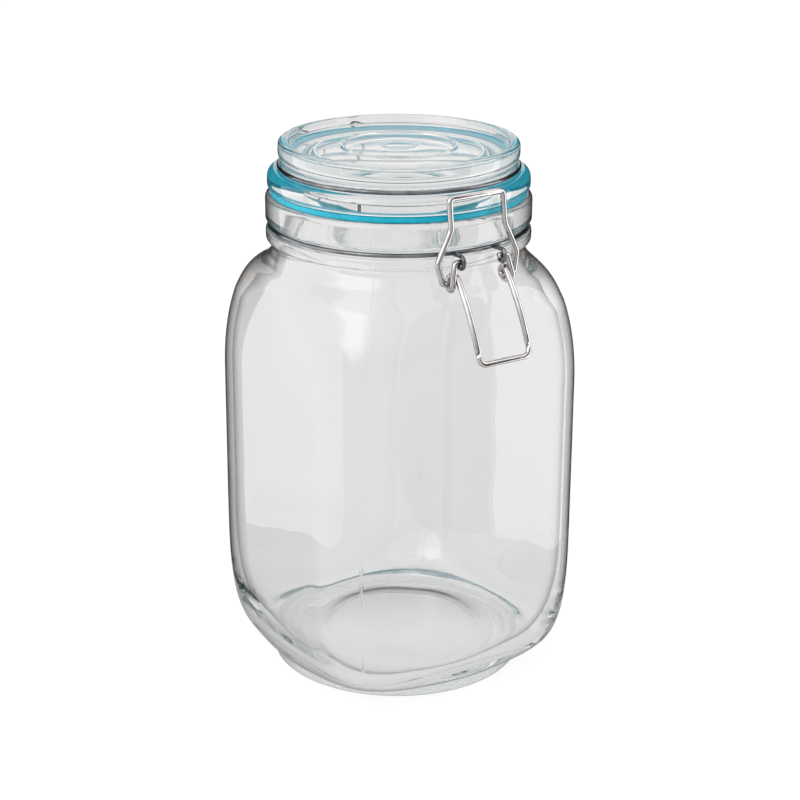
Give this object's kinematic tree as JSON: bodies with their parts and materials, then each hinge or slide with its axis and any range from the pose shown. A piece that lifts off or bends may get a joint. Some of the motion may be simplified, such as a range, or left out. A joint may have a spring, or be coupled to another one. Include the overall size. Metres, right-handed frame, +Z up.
{
  "type": "clip top jar",
  "caption": "Square glass storage jar with rounded corners, a round neck and foot, a glass lid on a rubber ring, and a wire hinge and toggle clip.",
  "frame": {"origin": "on the table, midway between the clip's handle at the front and the hinge's hooks at the back; the jar's own axis stands 6.8 mm behind it", "axes": "+Z up along the jar's axis; the clip is at -Y and the lid's hinge at +Y; +X is to the right for someone facing the clip"},
  "size_m": [0.109, 0.1238, 0.2035],
  "materials": {
    "clear_glass": "clear moulded glass, very slightly blue-green at its edges",
    "blue_rubber": "smooth satin rubber",
    "bright_wire": "bright drawn steel wire"
  },
  "bodies": {
    "jar": {"jar": "clear_glass", "neck_wire": "bright_wire"},
    "lid": {"lid": "clear_glass", "lid_wire": "bright_wire", "gasket": "blue_rubber"},
    "lever": {"lever": "bright_wire"},
    "bail": {"bail": "bright_wire"}
  },
  "joints": [
    {"name": "lid_hinge", "type": "hinge", "parent": "jar", "child": "lid", "pos_m": [0, 0.0589, 0.1705], "axis": [-1, 0, 0], "range_deg": [0, 100]},
    {"name": "lever_pivot", "type": "hinge", "parent": "jar", "child": "lever", "pos_m": [0, -0.0453, 0.1705], "axis": [-1, 0, 0], "range_deg": [0, 50]},
    {"name": "bail_pivot", "type": "hinge", "parent": "lever", "child": "bail", "pos_m": [0, -0.044, 0.1632], "axis": [1, 0, 0], "range_deg": [0, 134]}
  ],
  "couplings": [
    {"joint": "lever_pivot", "follows": "lid_hinge", "ratio": 0.5},
    {"joint": "bail_pivot", "follows": "lid_hinge", "ratio": 1.34}
  ]
}
